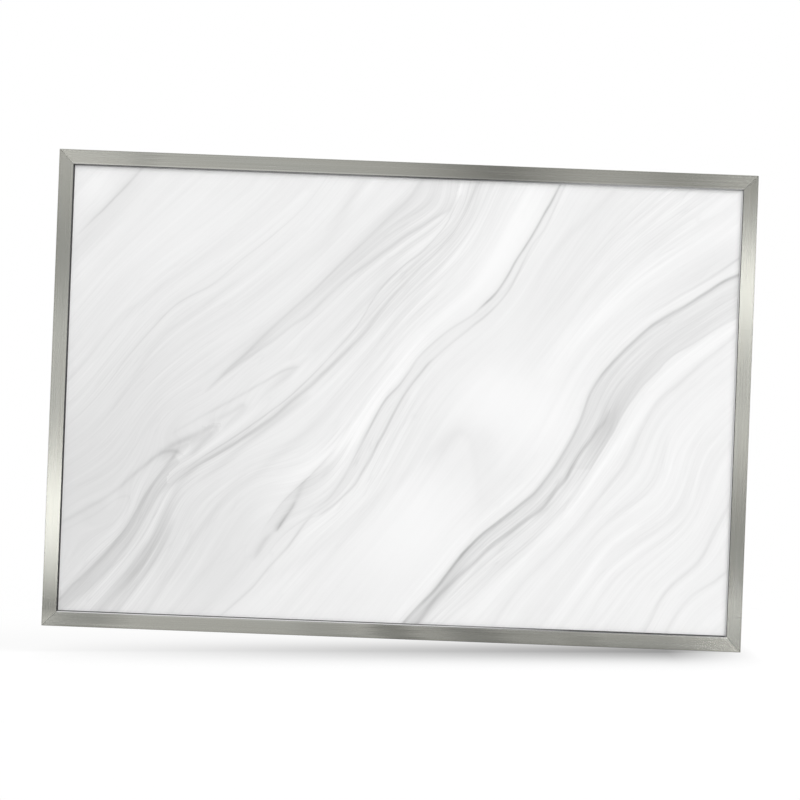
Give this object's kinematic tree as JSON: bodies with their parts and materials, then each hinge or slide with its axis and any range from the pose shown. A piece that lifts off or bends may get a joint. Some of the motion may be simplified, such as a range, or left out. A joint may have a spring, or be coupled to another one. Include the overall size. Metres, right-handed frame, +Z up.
{
  "type": "magnetic board",
  "caption": "Wall-hung magnetic memo board: a marble-patterned steel sheet in a mitred brushed metal frame, hung by swinging D-rings.",
  "frame": {"origin": "centre of the board's outline on the wall plane, which the backs of the four wall pads touch", "axes": "+X right as seen from the front, +Y back into the wall, +Z up"},
  "size_m": [0.958, 0.0253, 0.6532],
  "materials": {
    "frame_metal": "extruded section, brushed nickel finish, brushed along each side",
    "printed_steel": "thin steel sheet with a lacquered white and grey marble print",
    "hardboard": "smooth brown hardboard",
    "zinc_steel": "zinc-plated steel",
    "spring_steel": "blued spring steel strip",
    "plated_wire": "nickel-plated wire",
    "rubber": "soft dark rubber"
  },
  "bodies": {
    "board": {"top_rail": "frame_metal", "bottom_rail": "frame_metal", "left_stile": "frame_metal", "right_stile": "frame_metal", "printed_sheet": "printed_steel", "backing_board": "hardboard", "corner_key_bottom_left": "zinc_steel", "corner_key_bottom_right": "zinc_steel", "corner_key_top_right": "zinc_steel", "corner_key_top_left": "zinc_steel", "corner_shim_bottom_left": "zinc_steel", "corner_shim_bottom_right": "zinc_steel", "corner_shim_top_right": "zinc_steel", "corner_shim_top_left": "zinc_steel", "set_screw_bottom_left_1": "zinc_steel", "set_screw_bottom_left_2": "zinc_steel", "set_screw_bottom_right_1": "zinc_steel", "set_screw_bottom_right_2": "zinc_steel", "set_screw_top_right_1": "zinc_steel", "set_screw_top_right_2": "zinc_steel", "set_screw_top_left_1": "zinc_steel", "set_screw_top_left_2": "zinc_steel", "spring_clip_bottom_1": "spring_steel", "spring_clip_bottom_2": "spring_steel", "spring_clip_bottom_3": "spring_steel", "spring_clip_top_1": "spring_steel", "spring_clip_top_2": "spring_steel", "spring_clip_top_3": "spring_steel", "spring_clip_left_1": "spring_steel", "spring_clip_left_2": "spring_steel", "spring_clip_right_1": "spring_steel", "spring_clip_right_2": "spring_steel", "hanger_strap_left": "zinc_steel", "hanger_strap_right": "zinc_steel", "nut_plate_left": "zinc_steel", "nut_plate_right": "zinc_steel", "hanger_screw_left_1": "zinc_steel", "hanger_screw_left_2": "zinc_steel", "hanger_screw_right_1": "zinc_steel", "hanger_screw_right_2": "zinc_steel", "wall_pad_bottom_left": "rubber", "wall_pad_bottom_right": "rubber", "wall_pad_top_left": "rubber", "wall_pad_top_right": "rubber"},
    "left_ring": {"d_ring_left": "plated_wire"},
    "right_ring": {"d_ring_right": "plated_wire"}
  },
  "joints": [
    {"name": "left_ring_swing", "type": "hinge", "parent": "board", "child": "left_ring", "pos_m": [-0.4689, -0.0028, 0.1966], "axis": [1, 0, 0], "range_deg": [0, 180]},
    {"name": "right_ring_swing", "type": "hinge", "parent": "board", "child": "right_ring", "pos_m": [0.4689, -0.0028, 0.1966], "axis": [1, 0, 0], "range_deg": [0, 180]}
  ]
}
